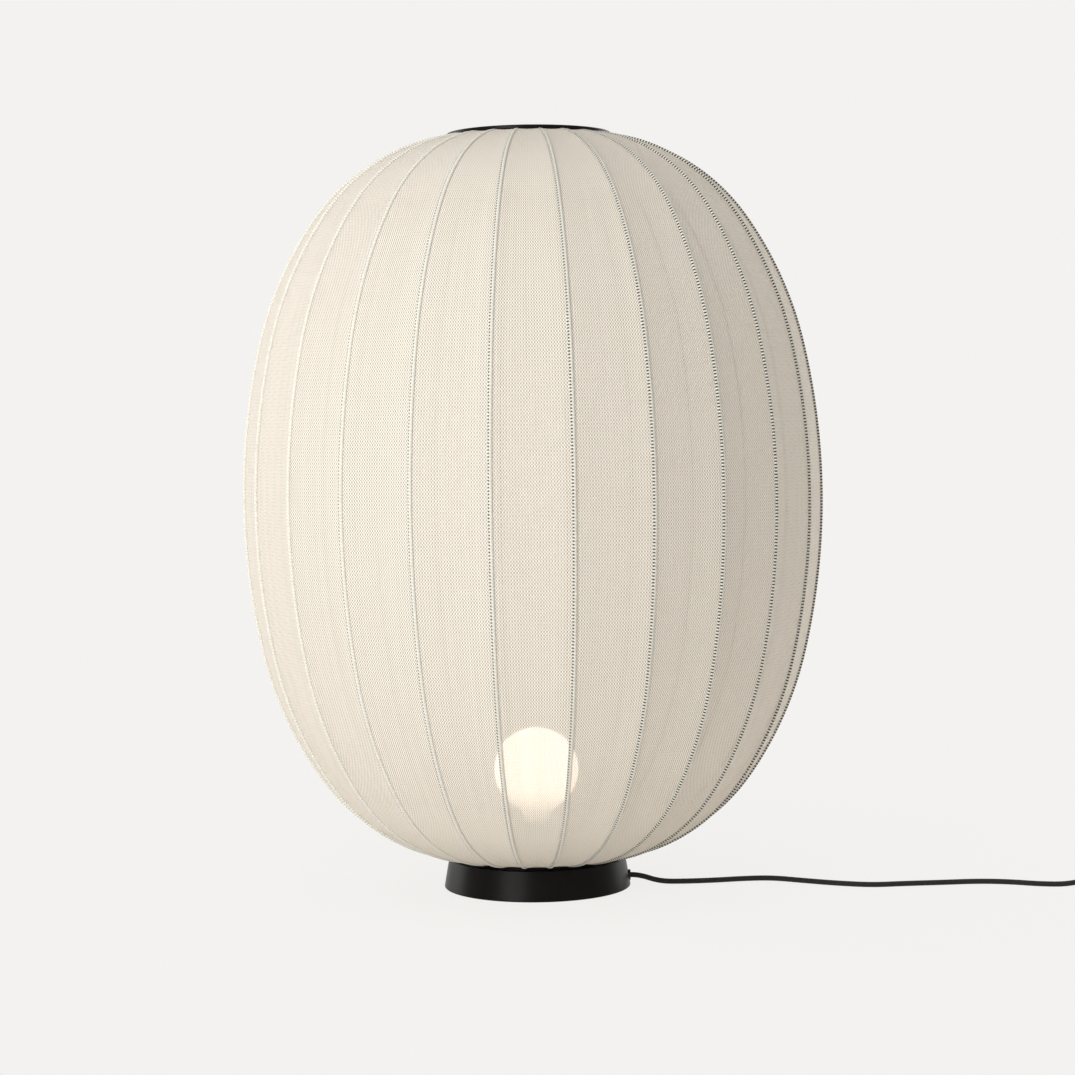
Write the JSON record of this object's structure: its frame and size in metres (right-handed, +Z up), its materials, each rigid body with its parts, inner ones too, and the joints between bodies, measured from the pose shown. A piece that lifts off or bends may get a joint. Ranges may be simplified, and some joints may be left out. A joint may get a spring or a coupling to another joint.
{
  "type": "knitted floor lamp",
  "caption": "Lantern-shaped knitted floor lamp: a lift-off ribbed shade over a globe bulb on a low black weighted base, with a corded foot switch and plug.",
  "frame": {"origin": "on the floor under the middle of the base", "axes": "+Z up along the lamp's axis, -Y towards the viewer, +X the side where the cord leaves the base"},
  "size_m": [1.1983, 0.6448, 0.8467],
  "materials": {
    "knit": "knitted, matt",
    "rod_steel": "drawn spring steel",
    "ring_black": "moulded, satin",
    "screw_steel": "zinc plated",
    "base_paint": "black powder coat, satin",
    "weight_iron": "as cast",
    "cover_steel": "black, matt",
    "felt": "pressed felt",
    "tube_brass": "turned",
    "holder_plastic": "moulded, satin",
    "core_ceramic": "unglazed",
    "sleeve_metal": "rolled",
    "opal_glass": "opal",
    "black_glass": "fused",
    "tip_metal": "soldered",
    "cord_textile": "braided textile",
    "bushing_rubber": "moulded",
    "clamp_nylon": "moulded",
    "switch_plastic": "moulded, fine grain",
    "button_plastic": "moulded",
    "spring_steel": "wound",
    "tie_plastic": "coated wire strip",
    "plug_plastic": "moulded",
    "pin_nickel": "nickel plated brass"
  },
  "bodies": {
    "base": {"base_shell": "base_paint", "counterweight": "weight_iron", "bottom_cover": "cover_steel", "base_pad": "felt", "base_screws": "screw_steel", "threaded_tube": "tube_brass", "tube_nut": "tube_brass", "holder_cup": "holder_plastic", "holder_core": "core_ceramic", "holder_barrel": "holder_plastic", "thread_sleeve": "sleeve_metal", "centre_contact": "tube_brass", "inner_cord": "cord_textile", "cord_bushing": "bushing_rubber", "cord_clamp": "clamp_nylon", "cord_run": "cord_textile", "switch_lower": "switch_plastic", "switch_upper": "switch_plastic", "switch_spring": "spring_steel", "switch_bushings": "bushing_rubber", "cord_tail": "cord_textile", "cord_coil": "cord_textile", "coil_tie": "tie_plastic", "plug_body": "plug_plastic", "plug_pins": "pin_nickel"},
    "shade": {"knitted_cover_front": "knit", "knitted_cover_back": "knit", "top_ring": "ring_black", "bottom_ring": "ring_black", "rib_clamps": "ring_black", "ring_screws": "screw_steel", "rib_rod_01": "rod_steel", "rib_rod_02": "rod_steel", "rib_rod_03": "rod_steel", "rib_rod_04": "rod_steel", "rib_rod_05": "rod_steel", "rib_rod_06": "rod_steel", "rib_rod_07": "rod_steel", "rib_rod_08": "rod_steel", "rib_rod_09": "rod_steel", "rib_rod_10": "rod_steel", "rib_rod_11": "rod_steel", "rib_rod_12": "rod_steel", "rib_rod_13": "rod_steel", "rib_rod_14": "rod_steel", "rib_rod_15": "rod_steel", "rib_rod_16": "rod_steel", "rib_rod_17": "rod_steel", "rib_rod_18": "rod_steel", "rib_rod_19": "rod_steel", "rib_rod_20": "rod_steel", "rib_rod_21": "rod_steel", "rib_rod_22": "rod_steel", "rib_rod_23": "rod_steel", "rib_rod_24": "rod_steel"},
    "bulb": {"bulb_globe": "opal_glass", "bulb_cap": "sleeve_metal", "bulb_insulator": "black_glass", "bulb_tip": "tip_metal"},
    "foot_button": {"switch_button": "button_plastic"}
  },
  "joints": [
    {"name": "shade_lift", "type": "slide", "parent": "base", "child": "shade", "axis": [0, 0, 1], "range_m": [0, 0.16]},
    {"name": "bulb_turn", "type": "hinge", "parent": "base", "child": "bulb", "pos_m": [0, 0, 0.13], "axis": [0, 0, 1], "range_deg": [0, 1440]},
    {"name": "foot_press", "type": "slide", "parent": "base", "child": "foot_button", "axis": [0, 0, 1], "range_m": [-0.003, 0], "stiffness_N_per_m": 500, "springref_m": 0.004, "deforming": ["switch_spring"]}
  ]
}
